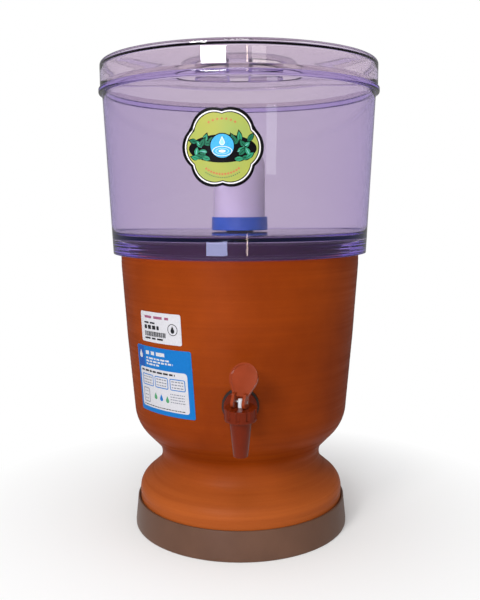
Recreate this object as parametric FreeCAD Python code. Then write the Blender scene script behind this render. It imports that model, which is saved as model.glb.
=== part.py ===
import FreeCAD, Part
import math
import os

# Clay water filter: a thrown clay pot that holds the filtered water, a clear plastic chamber
# with its lid on top, a ceramic candle between the two, and a lever tap at the front.
# Millimetres. The origin is the centre of the base, +Z is up, the tap faces -Y.

# Clay pot, outside line: each bend stands a rise above the one below it
foot_radius = 109.2
foot_height = 43.8
foot_round = 17.5
foot_undercut = 2.4
waist_radius = 74.5
waist_rise = 30.1
waist_round = 20.2
hip_radius = 109.6
hip_rise = 37.6
hip_round = 42.0
belly_radius = 116.9
belly_rise = 88.5
belly_round = 300.0
neck_rise = 74.0
neck_round = 60.0
rim_radius = 121.7
rim_rise = 27.5
rim_round = 3.0

# Clay pot, inside
clay_wall = 9.5
clay_floor_rise = 26.1
clay_floor_thickness = 14.0
clay_floor_round = 30.0
hollow_top_radius = 68.0
hollow_waist_wall = 4.5
hollow_waist_drop = 7.9
hollow_foot_wall = 16.2
hollow_foot_drop = 0.8
hollow_round = 14.0

# Base dish that the foot stands in
base_flare = 2.7
base_edge_height = 4.0
base_top_height = 29.7
base_wall = 2.0
base_floor = 3.0
base_round = 2.0
foot_gap = 0.5

# Clear upper chamber
skirt_gap = 4.6
skirt_drop = 16.0
chamber_flare = 7.3
chamber_wall = 2.8
chamber_floor = 3.0
chamber_height = 145.7
flange_reach = 3.6
flange_thickness = 5.2
upstand_height = 4.8
upstand_wall = 1.6
chamber_round = 4.0

# Lid
lid_gap = 0.6
lid_height = 25.3
lid_wall = 2.5
lid_plate = 2.0
lid_rim_width = 4.0
lid_rim_rise = 3.5
lid_shoulder = 3.2
crown_radius = 64.0
crown_slope = 7.0
crown_rise = 7.5
crown_round = 3.0
pocket_radius = 42.7
pocket_depth = 12.0
pocket_wall = 2.0
pocket_corner = 4.0
grip_width = 23.2

# Lever tap
tap_rise = 52.4
tap_hole_radius = 8.5
tap_tail_radius = 7.0
tap_tail_spare = 4.0
tap_bore_radius = 3.2
bore_step = 0.4
tap_reach = 46.0
tap_flange_radius = 15.5
tap_flange_thickness = 3.0
tap_arm_root_radius = 7.6
tap_arm_radius = 5.6
tap_arm_drop = 4.5
tap_arm_sunk = 0.5
tap_arm_flare = 2.0
tap_arm_flare_run = 3.0
outer_washer_radius = 17.0
inner_washer_radius = 14.0
washer_thickness = 3.0
washer_gap = 0.1
nut_width = 24.0
nut_height = 8.0
thread_gap = 0.15
spout_drop = 29.3
spout_radius = 6.5
spout_bore_radius = 4.7
barrel_radius = 10.0
barrel_wall = 1.5
barrel_top = 10.0
seat_bore_radius = 5.0
seat_lip_radius = 6.0
seat_lip_height = 0.7
seat_height = -4.5
cap_radius = 14.2
cap_bottom = 3.7
cap_roof = 3.4
flute_count = 10
flute_radius = 2.4
flute_depth = 1.0
flute_foot = 2.6
flute_turn = -9.6
cup_flange = 1.4
cup_plug_radius = 6.6
cup_plug_height = 3.4
cup_wall = 1.0
cup_gap = 0.4
cup_rim_gap = 0.1
cup_bell_drop = 1.0
seat_gap = 0.05

# Stem, pin and lever of the tap
stem_radius = 2.2
stem_bulb_radius = 3.2
stem_bulb_height = 2.2
stem_head = 2.7
running_gap = 0.06
pin_radius = 1.2
pin_fit = 0.02
pin_short = 0.1
cam_radius = 4.6
cam_offset = 3.0
cam_gap = 0.15
fork_gap = 7.6
fork_leg = 2.6
heel_reach = 3.4
paddle_length = 29.3
paddle_width = 25.9
paddle_thickness = 2.6
paddle_rise = 4.6
paddle_lean = 28.0
paddle_rim = 1.6
paddle_dish = 0.7
paddle_neck = 3.12
lever_turn = 22.0

# Filter candle
candle_radius = 26.0
candle_height = 82.0
candle_wall = 7.0
candle_crown = 20.8
candle_cup_radius = 29.0
candle_cup_height = 15.0
candle_cup_wall = 2.2
candle_cup_floor = 4.0
candle_core_gap = 0.4
candle_stem_radius = 5.9
candle_stem_bore = 3.0
candle_stem_gap = 0.4
candle_stem_below = 28.0
candle_washer_radius = 14.0
candle_washer_thickness = 2.0
wing_hub_radius = 9.5
wing_hub_height = 9.0
wing_span = 42.0
wing_thickness = 3.0
wing_height = 12.0
wing_step = 1.0
wing_round = 4.5

# Float valve under the candle
valve_radius = 10.5
valve_grip = 12.0
valve_floor = 4.0
valve_clear = 3.0
nozzle_radius = 3.5
nozzle_tip_radius = 2.5
nozzle_bore = 1.6
nozzle_length = 4.0
ear_thickness = 2.5
ear_radius = 4.0
ear_inset = 6.0
ear_rise = 6.0
pivot_reach = 15.0
float_pin_radius = 1.25
arm_width = 7.0
arm_thickness = 3.0
arm_gap = 0.3
arm_eye_radius = 3.0
arm_length = 60.0
ball_radius = 17.0
ball_gap = 0.1
float_drop = 30.0

# Labels
label_gap = 0.1
label_thickness = 0.3
badge_turn = -6.25
badge_rise = 81.1
badge_width = 70.5
badge_tall = 70.6
badge_lobes = 6
badge_cusp = 0.90
price_turn = -39.7
price_rise = 20.3
price_width = 52.0
price_tall = 29.2
info_turn = -40.4
info_drop = 31.7
info_width = 71.5
info_tall = 65.4
label_corner = 1.8

# Small edges, and how far a cutting shape runs past the face it cuts
crisp_edge = 0.4
small_edge = 0.6
soft_edge = 1.0
full_edge = 1.5
past = 1.0

# Heights and radii that follow from the sizes above
waist_height = foot_height + waist_rise
hip_height = waist_height + hip_rise
belly_height = hip_height + belly_rise
neck_height = belly_height + neck_rise
rim_height = neck_height + rim_rise
clay_floor_top = waist_height + clay_floor_rise
clay_floor_under = clay_floor_top - clay_floor_thickness
clay_clear_radius = max(foot_radius, hip_radius, belly_radius, rim_radius) + clay_wall
foot_seat_radius = foot_radius - foot_undercut
base_top_radius = foot_seat_radius + foot_gap + base_wall
base_radius = base_top_radius + base_flare
skirt_radius = rim_radius + skirt_gap + chamber_wall
chamber_top_radius = skirt_radius + chamber_flare
flange_radius = chamber_top_radius + flange_reach
upstand_radius = chamber_top_radius - chamber_wall + upstand_wall
lid_radius = upstand_radius + lid_gap + lid_wall

V = FreeCAD.Vector
up = V(0, 0, 1)
os.makedirs("parts", exist_ok=True)


def write(name, shape):
    shape.exportStep("parts/" + name + ".step")


def line_with_rounds(corners):
    # A closed outline in the XZ plane: each corner is a radius, a height and its rounding.
    points = [V(c[0], 0, c[1]) for c in corners]
    starts = []
    arcs = []
    for i, corner in enumerate(corners):
        here = points[i]
        to_last = (points[i - 1] - here).normalize()
        to_next = (points[(i + 1) % len(points)] - here).normalize()
        size = corner[2] if len(corner) > 2 else 0
        if size == 0:
            starts.append((here, here))
            arcs.append(None)
            continue
        turn = math.pi - to_last.getAngle(to_next)
        reach = size * math.tan(turn / 2)
        inward = (to_last + to_next).normalize()
        middle = here + inward * (size / math.cos(turn / 2) - size)
        first = here + to_last * reach
        last = here + to_next * reach
        starts.append((first, last))
        arcs.append(Part.Arc(first, middle, last).toShape())
    edges = []
    for i, (first, last) in enumerate(starts):
        if arcs[i]:
            edges.append(arcs[i])
        following = starts[(i + 1) % len(starts)][0]
        if last.distanceToPoint(following) > 1e-6:
            edges.append(Part.LineSegment(last, following).toShape())
    return Part.Wire(edges)


def lathe(corners):
    face = Part.Face(line_with_rounds(corners))
    return face.revolve(V(0, 0, 0), up, 360)


def rod(radius, low, high):
    return Part.makeCylinder(radius, high - low, V(0, 0, low))


def tube(outer, bore, low, high):
    return rod(outer, low, high).cut(rod(bore, low - 1, high + 1))


def turned(shape, axis, angle):
    # A copy turned about an axis through the origin.
    copy = shape.copy()
    copy.Placement = FreeCAD.Placement(V(0, 0, 0), FreeCAD.Rotation(axis, angle)).multiply(copy.Placement)
    return copy


def moved(shape, offset):
    copy = shape.copy()
    copy.Placement = FreeCAD.Placement(offset, FreeCAD.Rotation()).multiply(copy.Placement)
    return copy


def slab(outline, low, high):
    # An outline drawn in the XZ plane, made solid from y = low to y = high.
    return moved(Part.Face(outline).extrude(V(0, high - low, 0)), V(0, low, 0))


# Where the chamber's parts stand
chamber_under = rim_height
chamber_floor_top = chamber_under + chamber_floor
flange_top = chamber_under + chamber_height
flange_under = flange_top - flange_thickness
skirt_bottom = chamber_under - skirt_drop


def chamber_radius(height):
    share = (height - skirt_bottom) / (flange_under - skirt_bottom)
    return skirt_radius + share * (chamber_top_radius - skirt_radius)


def clay_outside(extra):
    # The pot's outside as a full turned body, larger by extra all round.
    return lathe([
        (0, base_floor),
        (foot_seat_radius + extra, base_floor, base_round),
        (foot_seat_radius + extra, foot_height - foot_round / 2),
        (foot_radius + extra, foot_height, foot_round),
        (waist_radius + extra, waist_height, waist_round),
        (hip_radius + extra, hip_height, hip_round),
        (belly_radius + extra, belly_height, belly_round),
        (rim_radius + extra, neck_height, neck_round),
        (rim_radius + extra, rim_height, rim_round),
        (0, rim_height),
    ])


def clay_pot():
    # The bowl, from its floor up to the rim.
    inside = lathe([
        (0, clay_floor_top),
        (hip_radius - clay_wall, clay_floor_top, clay_floor_round),
        (belly_radius - clay_wall, belly_height, belly_round),
        (rim_radius - clay_wall, neck_height, neck_round),
        (rim_radius - clay_wall, rim_height + past),
        (0, rim_height + past),
    ])
    below = rod(clay_clear_radius, base_floor - past, clay_floor_under)
    return clay_outside(0).cut(inside).cut(below)


def clay_foot():
    # The waisted foot that is luted on below the bowl, hollow and open underneath.
    hollow = lathe([
        (0, base_floor - past),
        (foot_radius - hollow_foot_wall, base_floor - past),
        (foot_radius - hollow_foot_wall, foot_height - hollow_foot_drop, hollow_round),
        (waist_radius - hollow_waist_wall, waist_height - hollow_waist_drop, hollow_round),
        (hollow_top_radius, clay_floor_under + past),
        (0, clay_floor_under + past),
    ])
    above = rod(clay_clear_radius, clay_floor_under, rim_height + past)
    return clay_outside(0).cut(above).cut(hollow)


def base_dish():
    return lathe([
        (0, 0),
        (base_radius, 0, soft_edge),
        (base_radius, base_edge_height, base_round),
        (base_top_radius, base_top_height, small_edge),
        (base_top_radius - base_wall, base_top_height, small_edge),
        (base_radius - base_wall, base_floor, base_round),
        (0, base_floor),
    ])


def upper_chamber():
    stem_hole = candle_stem_radius + candle_stem_gap
    return lathe([
        (skirt_radius - chamber_wall, skirt_bottom, small_edge),
        (skirt_radius, skirt_bottom, small_edge),
        (chamber_top_radius, flange_under, soft_edge),
        (flange_radius, flange_under, full_edge),
        (flange_radius, flange_top, soft_edge),
        (upstand_radius, flange_top, crisp_edge),
        (upstand_radius, flange_top + upstand_height, small_edge),
        (chamber_top_radius - chamber_wall, flange_top + upstand_height, small_edge),
        (chamber_top_radius - chamber_wall, flange_under),
        (chamber_radius(chamber_floor_top) - chamber_wall, chamber_floor_top, chamber_round),
        (stem_hole, chamber_floor_top),
        (stem_hole, chamber_under),
        (chamber_radius(chamber_under) - chamber_wall, chamber_under, soft_edge),
    ])


def pocket(grow, low, high):
    # Both finger pockets: two D shapes either side of the grip.
    round_part = rod(pocket_radius + grow, low, high)
    bar = Part.makeBox(grip_width - 2 * grow, 4 * pocket_radius, high - low + 2 * past)
    bar = moved(bar, V(grow - grip_width / 2, -2 * pocket_radius, low - past))
    pair = round_part.cut(bar)
    uprights = [e for e in pair.Edges if abs(e.tangentAt(e.FirstParameter).z) > 0.999]
    return pair.makeFillet(pocket_corner + grow, uprights)


def lid():
    # A standing rim, a flat ring inside it, and a raised crown with the two finger pockets.
    rim_top = flange_top + lid_height
    rim_inside = lid_radius - lid_rim_width
    ring_top = rim_top - lid_rim_rise
    crown_top = ring_top + crown_rise
    crown_edge = crown_radius - crown_slope
    shell = lathe([
        (0, crown_top),
        (crown_edge, crown_top, crown_round),
        (crown_radius, ring_top, crown_round),
        (rim_inside, ring_top, small_edge),
        (rim_inside, rim_top, small_edge),
        (lid_radius, rim_top, lid_shoulder),
        (lid_radius, flange_top, crisp_edge),
        (lid_radius - lid_wall, flange_top, crisp_edge),
        (lid_radius - lid_wall, ring_top - lid_plate, soft_edge),
        (crown_radius, ring_top - lid_plate, crown_round),
        (crown_edge, crown_top - lid_plate, crown_round),
        (0, crown_top - lid_plate),
    ])
    floor = crown_top - pocket_depth
    walls = pocket(pocket_wall, floor - pocket_wall, crown_top)
    return shell.fuse(walls).cut(pocket(0, floor, crown_top + past)).removeSplitter()


# The tap stands square to the sloping wall, so its lean and its place follow the pot's line.
tap_height = clay_floor_top + tap_rise
wall_slope = (belly_radius - hip_radius) / (belly_height - hip_height)
tap_lean = math.degrees(math.atan(wall_slope))
tap_wall_radius = hip_radius + wall_slope * (tap_height - hip_height)
wall_through = clay_wall * math.cos(math.radians(tap_lean))
tap_place = FreeCAD.Placement(V(0, -tap_wall_radius, tap_height), FreeCAD.Rotation(V(1, 0, 0), tap_lean))
cap_top = barrel_top + cup_flange + 2 * seat_gap + cap_roof
plug_bottom = seat_height + seat_gap
pin_height = cap_top + cam_gap + cam_radius
bulb_bottom = plug_bottom + cup_wall + running_gap
bulb_top = bulb_bottom + stem_bulb_height


def at_wall(shape):
    # From the tap's own frame to the pot's.
    copy = shape.copy()
    copy.Placement = tap_place.multiply(copy.Placement)
    return copy


def outward(shape):
    # A body turned about Z, laid so that its height runs out of the wall.
    return turned(shape, V(1, 0, 0), 90)


def at_barrel(shape):
    return at_wall(moved(shape, V(0, -tap_reach, 0)))


tail_end = wall_through + washer_thickness + washer_gap + nut_height + tap_tail_spare
flange_back = washer_thickness + washer_gap
arm_start = flange_back + tap_flange_thickness - tap_arm_sunk
arm_run = tap_reach - arm_start


def along_arm(shape):
    # The arm drops a little on its way out, so that it meets the barrel below the cap.
    drop = math.degrees(math.atan(tap_arm_drop / arm_run))
    return moved(turned(shape, V(1, 0, 0), drop), V(0, -arm_start, 0))


def tap_body():
    tail = outward(lathe([
        (0, -tail_end),
        (tap_tail_radius, -tail_end, small_edge),
        (tap_tail_radius, flange_back),
        (tap_flange_radius, flange_back, crisp_edge),
        (tap_flange_radius, flange_back + tap_flange_thickness, soft_edge),
        (0, flange_back + tap_flange_thickness),
    ]))
    run = math.hypot(arm_run, tap_arm_drop)
    arm = along_arm(outward(lathe([
        (0, 0),
        (tap_arm_root_radius + tap_arm_flare, 0),
        (tap_arm_root_radius, tap_arm_flare_run, tap_arm_flare),
        (tap_arm_radius, run),
        (0, run),
    ])))
    barrel = moved(lathe([
        (0, -spout_drop),
        (spout_radius, -spout_drop, small_edge),
        (barrel_radius, cap_bottom, soft_edge),
        (barrel_radius, barrel_top, crisp_edge),
        (0, barrel_top),
    ]), V(0, -tap_reach, 0))
    waterway = moved(lathe([
        (0, -spout_drop - past),
        (spout_bore_radius, -spout_drop - past),
        (seat_bore_radius, seat_height),
        (seat_lip_radius, seat_height),
        (seat_lip_radius, seat_height - seat_lip_height),
        (barrel_radius - barrel_wall, seat_height - seat_lip_height, crisp_edge),
        (barrel_radius - barrel_wall, barrel_top + past),
        (0, barrel_top + past),
    ]), V(0, -tap_reach, 0))
    tail_bore = outward(rod(tap_bore_radius + bore_step, -tail_end - past, arm_start + tap_arm_sunk))
    arm_bore = along_arm(outward(rod(tap_bore_radius, 0, run - seat_lip_radius - past)))
    body = tail.fuse(arm).fuse(barrel).cut(waterway).cut(tail_bore).cut(arm_bore)
    return at_wall(body.removeSplitter())


def washer_blank(radius, low, high):
    return at_wall(outward(tube(radius, tap_tail_radius + thread_gap, low, high)))


def off_wall(shape, distance):
    # Moved square to the wall, outward when the distance is positive.
    out = tap_place.Rotation.multVec(V(0, -1, 0))
    return moved(shape, out * distance)


def tap_nut():
    corner = nut_width / math.sqrt(3)
    corners = [V(corner * math.cos(math.radians(60 * i)), corner * math.sin(math.radians(60 * i)), 0)
               for i in range(7)]
    prism = Part.Face(Part.makePolygon(corners)).extrude(V(0, 0, nut_height))
    crown = lathe([
        (0, 0),
        (corner, 0),
        (corner, nut_height - full_edge),
        (nut_width / 2 - crisp_edge, nut_height),
        (0, nut_height),
    ])
    nut = prism.common(crown).cut(rod(tap_tail_radius + thread_gap, -past, nut_height + past))
    inner_face = wall_through + washer_thickness + washer_gap
    return at_wall(moved(turned(nut, V(1, 0, 0), -90), V(0, inner_face + washer_gap, 0)))


def tap_cap():
    inside = barrel_radius + thread_gap
    roof = cap_top - cap_roof
    hole = stem_radius + running_gap
    body = lathe([
        (inside, cap_bottom),
        (cap_radius, cap_bottom, soft_edge),
        (cap_radius, cap_top, soft_edge),
        (hole, cap_top, crisp_edge),
        (hole, roof),
        (inside, roof),
    ])
    flutes = []
    for i in range(flute_count):
        spin = math.radians(flute_turn + i * 360 / flute_count)
        reach = cap_radius + flute_radius - flute_depth
        flute = rod(flute_radius, cap_bottom + flute_foot, cap_top + past)
        flutes.append(moved(flute, V(reach * math.sin(spin), -reach * math.cos(spin), 0)))
    return at_barrel(body.cut(flutes))


def seat_cup():
    # One moulding: a flange held under the cap, a thin bell that flexes, and the valve plug.
    flange_low = barrel_top + seat_gap
    flange_high = flange_low + cup_flange
    plug_top = plug_bottom + cup_plug_height
    bell = barrel_radius - barrel_wall - cup_gap
    rim = barrel_radius - cup_rim_gap
    neck = stem_radius + 2 * running_gap
    socket = stem_bulb_radius + running_gap
    return at_barrel(lathe([
        (0, plug_bottom),
        (cup_plug_radius, plug_bottom, crisp_edge),
        (cup_plug_radius, plug_top, small_edge),
        (bell, flange_low - cup_bell_drop, soft_edge),
        (bell, flange_low),
        (rim, flange_low),
        (rim, flange_high),
        (bell - cup_wall, flange_high),
        (bell - cup_wall, flange_low - cup_bell_drop, soft_edge),
        (cup_plug_radius - cup_wall, plug_top + cup_wall, small_edge),
        (neck, plug_top + cup_wall),
        (neck, bulb_top + running_gap),
        (socket, bulb_top + running_gap),
        (socket, bulb_bottom - running_gap),
        (0, bulb_bottom - running_gap),
    ]))


def cross_pin(radius, half):
    return turned(rod(radius, -half, half), V(0, 1, 0), 90)


def on_stem(shape):
    # From the lever's frame, at the pin, to the pot's, with the lever turned as it stands.
    return at_barrel(moved(turned(shape, up, -lever_turn), V(0, 0, pin_height)))


def tap_stem():
    body = moved(lathe([
        (0, bulb_bottom),
        (stem_bulb_radius, bulb_bottom, crisp_edge),
        (stem_bulb_radius, bulb_top, crisp_edge),
        (stem_radius, bulb_top),
        (stem_radius, pin_height + stem_head, soft_edge),
        (0, pin_height + stem_head),
    ]), V(0, 0, -pin_height))
    return on_stem(body.cut(cross_pin(pin_radius + pin_fit, 2 * stem_radius)))


def tap_pin():
    return on_stem(cross_pin(pin_radius, fork_gap / 2 + fork_leg - pin_short))


def paddle_outline(shrink):
    # Straight sides that open from the foot of the paddle to its round top.
    radius = paddle_width / 2 - shrink
    half_foot = fork_gap / 2 + fork_leg - shrink
    centre = paddle_length - paddle_width / 2
    away = math.hypot(half_foot, centre - shrink)
    angle = math.atan2(shrink - centre, half_foot) + math.acos(radius / away)
    right_foot = V(half_foot, 0, shrink)
    left_foot = V(-half_foot, 0, shrink)
    right_top = V(radius * math.cos(angle), 0, centre + radius * math.sin(angle))
    left_top = V(-right_top.x, 0, right_top.z)
    crest = V(0, 0, centre + radius)
    return Part.Wire([
        Part.LineSegment(left_foot, right_foot).toShape(),
        Part.LineSegment(right_foot, right_top).toShape(),
        Part.Arc(right_top, crest, left_top).toShape(),
        Part.LineSegment(left_top, left_foot).toShape(),
    ])


def fork_leg_at(inner):
    # Side view of a leg: a flat heel, a round cam ahead of the pin, and a neck up to the paddle.
    corners = [
        V(0, heel_reach, -cam_radius),
        V(0, -cam_offset, -cam_radius),
        V(0, -cam_offset - cam_radius, 0),
        V(0, -paddle_neck, paddle_rise + paddle_neck),
        V(0, paddle_neck, paddle_rise + paddle_neck),
        V(0, heel_reach, 0),
    ]
    half_way = cam_radius * math.sqrt(0.5)
    edges = [Part.Arc(corners[1], V(0, -cam_offset - half_way, -half_way), corners[2]).toShape()]
    for i in (0, 2, 3, 4, 5):
        edges.append(Part.LineSegment(corners[i], corners[(i + 1) % len(corners)]).toShape())
    face = Part.Face(Part.Wire(Part.__sortEdges__(edges)))
    return moved(face.extrude(V(fork_leg, 0, 0)), V(inner, 0, 0))


def tap_lever():
    half = paddle_thickness / 2
    plate = slab(paddle_outline(0), -half, half)
    dish = slab(paddle_outline(paddle_rim), -half - past, -half + paddle_dish)
    paddle = moved(turned(plate.cut(dish), V(1, 0, 0), -paddle_lean), V(0, 0, paddle_rise))
    legs = fork_leg_at(fork_gap / 2).fuse(fork_leg_at(-fork_gap / 2 - fork_leg))
    bore = cross_pin(pin_radius + running_gap, fork_gap)
    return on_stem(paddle.fuse(legs).cut(bore).removeSplitter())


# The candle stands on the chamber floor and its threaded stem passes through it.
candle_seat = chamber_floor_top + candle_washer_thickness
cup_floor_top = candle_seat + candle_cup_floor
nut_top = chamber_under - candle_washer_thickness
stem_end = chamber_under - candle_stem_below


def candle_shell():
    top = cup_floor_top + candle_height
    inner = candle_radius - candle_wall
    return lathe([
        (inner, cup_floor_top),
        (candle_radius, cup_floor_top),
        (candle_radius, top, candle_crown),
        (0, top),
        (0, top - candle_wall),
        (inner, top - candle_wall, candle_crown - candle_wall),
    ])


def candle_core():
    top = cup_floor_top + candle_height - candle_wall - candle_core_gap
    radius = candle_radius - candle_wall - candle_core_gap
    return lathe([
        (0, cup_floor_top),
        (radius, cup_floor_top),
        (radius, top, candle_crown - candle_wall),
        (0, top),
    ])


def candle_cup():
    inner = candle_radius + candle_core_gap
    return lathe([
        (candle_stem_bore, stem_end),
        (candle_stem_radius, stem_end, small_edge),
        (candle_stem_radius, candle_seat),
        (candle_cup_radius, candle_seat, full_edge),
        (inner + candle_cup_wall, candle_seat + candle_cup_height, small_edge),
        (inner, candle_seat + candle_cup_height, crisp_edge),
        (inner, cup_floor_top),
        (candle_stem_bore, cup_floor_top),
    ])


def wing_nut():
    low = nut_top - wing_hub_height
    hub = lathe([
        (0, low),
        (wing_hub_radius, low, full_edge),
        (wing_hub_radius, nut_top, crisp_edge),
        (0, nut_top),
    ])
    half = wing_span / 2
    wings = slab(line_with_rounds([
        (-half, nut_top - wing_height, wing_round),
        (half, nut_top - wing_height, wing_round),
        (half, nut_top - wing_step, wing_round),
        (-half, nut_top - wing_step, wing_round),
    ]), -wing_thickness / 2, wing_thickness / 2)
    bore = rod(candle_stem_radius + thread_gap, nut_top - 2 * wing_height, nut_top + past)
    return hub.fuse(wings).cut(bore)


# The float valve screws on below the candle's stem.
valve_top = stem_end + valve_grip
valve_bottom = stem_end - valve_clear - valve_floor
nozzle_tip = valve_bottom - nozzle_length
arm_top = nozzle_tip - arm_gap
pivot = V(-pivot_reach, 0, arm_top - arm_thickness / 2)


def across_pivot(radius, half):
    return Part.makeCylinder(radius, 2 * half, V(pivot.x, -half, pivot.z), V(0, 1, 0))


def float_valve_body():
    shell = lathe([
        (0, valve_bottom),
        (valve_radius, valve_bottom, soft_edge),
        (valve_radius, valve_top, soft_edge),
        (0, valve_top),
    ])
    socket = rod(candle_stem_radius + thread_gap, valve_bottom + valve_floor, valve_top + past)
    nozzle = lathe([
        (0, nozzle_tip),
        (nozzle_tip_radius, nozzle_tip),
        (nozzle_radius, valve_bottom + past),
        (0, valve_bottom + past),
    ])
    ear_inner = arm_width / 2 + arm_gap
    ears = []
    for side in (ear_inner, -ear_inner - ear_thickness):
        plate = Part.makeBox(pivot_reach + ear_radius - ear_inset, ear_thickness,
                             valve_bottom + ear_rise - pivot.z)
        plate = moved(plate, V(pivot.x - ear_radius, side, pivot.z))
        eye = Part.makeCylinder(ear_radius, ear_thickness, V(pivot.x, side, pivot.z), V(0, 1, 0))
        ears.append(plate.fuse(eye))
    body = shell.fuse(nozzle).fuse(ears).cut(socket)
    body = body.cut(rod(nozzle_bore, nozzle_tip - past, valve_bottom + valve_floor + past))
    pin_hole = across_pivot(float_pin_radius + pin_fit, ear_inner + ear_thickness + past)
    return body.cut(pin_hole).removeSplitter()


def float_pin():
    return across_pivot(float_pin_radius, arm_width / 2 + arm_gap + ear_thickness)


def hanging(shape):
    # The float hangs at the bottom of its travel when the pot is empty.
    copy = shape.copy()
    copy.rotate(pivot, V(0, 1, 0), float_drop)
    return copy


def float_arm():
    bar = Part.makeBox(arm_length + pivot_reach, arm_width, arm_thickness)
    bar = moved(bar, V(-pivot_reach, -arm_width / 2, arm_top - arm_thickness))
    eye = across_pivot(arm_eye_radius, arm_width / 2)
    eye_bore = across_pivot(float_pin_radius + running_gap, arm_width)
    socket = Part.makeSphere(ball_radius + ball_gap, V(arm_length, 0, arm_top - arm_thickness))
    return hanging(bar.fuse(eye).cut(eye_bore).cut(socket))


def float_ball():
    return hanging(Part.makeSphere(ball_radius, V(arm_length, 0, arm_top - arm_thickness)))


def label(outline, inner_body, outer_body, turn, reach):
    # A thin skin that follows the wall, cut to the outline and carried round to its place.
    stamp = slab(outline, -reach - clay_wall, -reach / 2)
    skin = outer_body.cut(inner_body)
    return turned(stamp, up, turn).common(skin)


def rounded_label(width, tall, height):
    return line_with_rounds([
        (-width / 2, height - tall / 2, label_corner),
        (width / 2, height - tall / 2, label_corner),
        (width / 2, height + tall / 2, label_corner),
        (-width / 2, height + tall / 2, label_corner),
    ])


def scalloped(width, tall, height):
    def at(share, size):
        angle = 2 * math.pi * share / badge_lobes
        return V(size * width / 2 * math.cos(angle), 0, height + size * tall / 2 * math.sin(angle))
    lobes = [Part.Arc(at(i - 0.5, badge_cusp), at(i, 1), at(i + 0.5, badge_cusp)).toShape()
             for i in range(badge_lobes)]
    return Part.Wire(lobes)


def chamber_skin(extra):
    return lathe([
        (0, skirt_bottom),
        (skirt_radius + extra, skirt_bottom),
        (chamber_top_radius + extra, flange_under),
        (0, flange_under),
    ])


def clay_label(width, tall, turn, height):
    return label(rounded_label(width, tall, height), clay_outside(label_gap),
                 clay_outside(label_gap + label_thickness), turn, rim_radius)


def front_badge():
    height = chamber_under + badge_rise
    return label(scalloped(badge_width, badge_tall, height), chamber_skin(label_gap),
                 chamber_skin(label_gap + label_thickness), badge_turn, chamber_top_radius)


clay = clay_pot()
tap_hole = at_wall(outward(rod(tap_hole_radius, -2 * clay_wall, clay_wall)))
outer_washer = washer_blank(outer_washer_radius, -washer_thickness, washer_thickness)
inner_washer = washer_blank(inner_washer_radius, -wall_through - washer_thickness,
                            washer_thickness - wall_through)

write("clay_pot", clay.cut(tap_hole))
write("clay_foot", clay_foot())
write("base_dish", base_dish())
write("price_sticker", clay_label(price_width, price_tall, price_turn, belly_height + price_rise))
write("info_label", clay_label(info_width, info_tall, info_turn, belly_height - info_drop))
write("upper_chamber", upper_chamber())
write("front_badge", front_badge())
write("lid", lid())
write("tap_outer_washer", off_wall(outer_washer.cut(clay), washer_gap))
write("tap_inner_washer", off_wall(inner_washer.cut(clay), -washer_gap))
write("tap_nut", tap_nut())
write("tap_body", tap_body())
write("tap_cap", tap_cap())
write("tap_seat_cup", seat_cup())
write("tap_stem", tap_stem())
write("tap_pin", tap_pin())
write("tap_lever", tap_lever())
write("candle_shell", candle_shell())
write("candle_core", candle_core())
write("candle_cup", candle_cup())
write("candle_upper_washer", tube(candle_washer_radius, candle_stem_radius + thread_gap,
                                  chamber_floor_top, candle_seat))
write("candle_lower_washer", tube(candle_washer_radius, candle_stem_radius + thread_gap,
                                  nut_top, chamber_under))
write("candle_wing_nut", wing_nut())
write("float_valve_body", float_valve_body())
write("float_pin", float_pin())
write("float_arm", float_arm())
write("float_ball", float_ball())

stem_axis = tap_place.Rotation.multVec(up)
pin_point = tap_place.multVec(V(0, -tap_reach, pin_height))
pin_line = tap_place.Rotation.multVec(FreeCAD.Rotation(up, -lever_turn).multVec(V(1, 0, 0)))
print("stem axis", stem_axis, "pin", pin_point, "pin axis", pin_line, "float pivot", pivot)
print("spout mouth", tap_place.multVec(V(0, -tap_reach, -spout_drop)), "lean", tap_lean)
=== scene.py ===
import math
import random

import bmesh
import bpy
from mathutils import Euler, Matrix, Vector, noise


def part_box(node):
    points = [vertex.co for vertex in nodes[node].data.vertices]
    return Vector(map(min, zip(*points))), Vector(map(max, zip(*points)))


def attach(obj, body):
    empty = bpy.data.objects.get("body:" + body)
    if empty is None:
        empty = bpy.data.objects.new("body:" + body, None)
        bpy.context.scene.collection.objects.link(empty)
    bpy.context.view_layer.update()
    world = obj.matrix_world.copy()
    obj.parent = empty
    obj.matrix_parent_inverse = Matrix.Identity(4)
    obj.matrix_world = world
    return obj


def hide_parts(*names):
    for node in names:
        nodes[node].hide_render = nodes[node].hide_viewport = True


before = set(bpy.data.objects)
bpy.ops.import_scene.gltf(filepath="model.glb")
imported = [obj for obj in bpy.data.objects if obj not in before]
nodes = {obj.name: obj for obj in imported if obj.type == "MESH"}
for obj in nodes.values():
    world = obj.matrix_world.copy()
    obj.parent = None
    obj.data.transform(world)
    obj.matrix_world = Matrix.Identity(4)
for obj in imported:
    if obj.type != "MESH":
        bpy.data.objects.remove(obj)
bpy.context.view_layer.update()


# Camera. It stands in front of the tap, a little above the clay rim, and looks down by a few
# degrees, so that the lid is seen from below and the foot from above.
camera_place = (0.0, -0.793, 0.336)
camera_pitch = 7.27
camera_roll = -0.26
camera_lens = 45.86

camera_data = bpy.data.cameras.new("camera")
camera_data.lens = camera_lens
camera = bpy.data.objects.new("camera", camera_data)
camera.location = camera_place
pitched = Euler((math.radians(90 - camera_pitch), 0, 0)).to_matrix()
camera.rotation_euler = (pitched @ Matrix.Rotation(math.radians(camera_roll), 3, "Z")).to_euler()
bpy.context.scene.collection.objects.link(camera)
bpy.context.scene.camera = camera
bpy.context.scene.view_settings.view_transform = "Standard"


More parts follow.
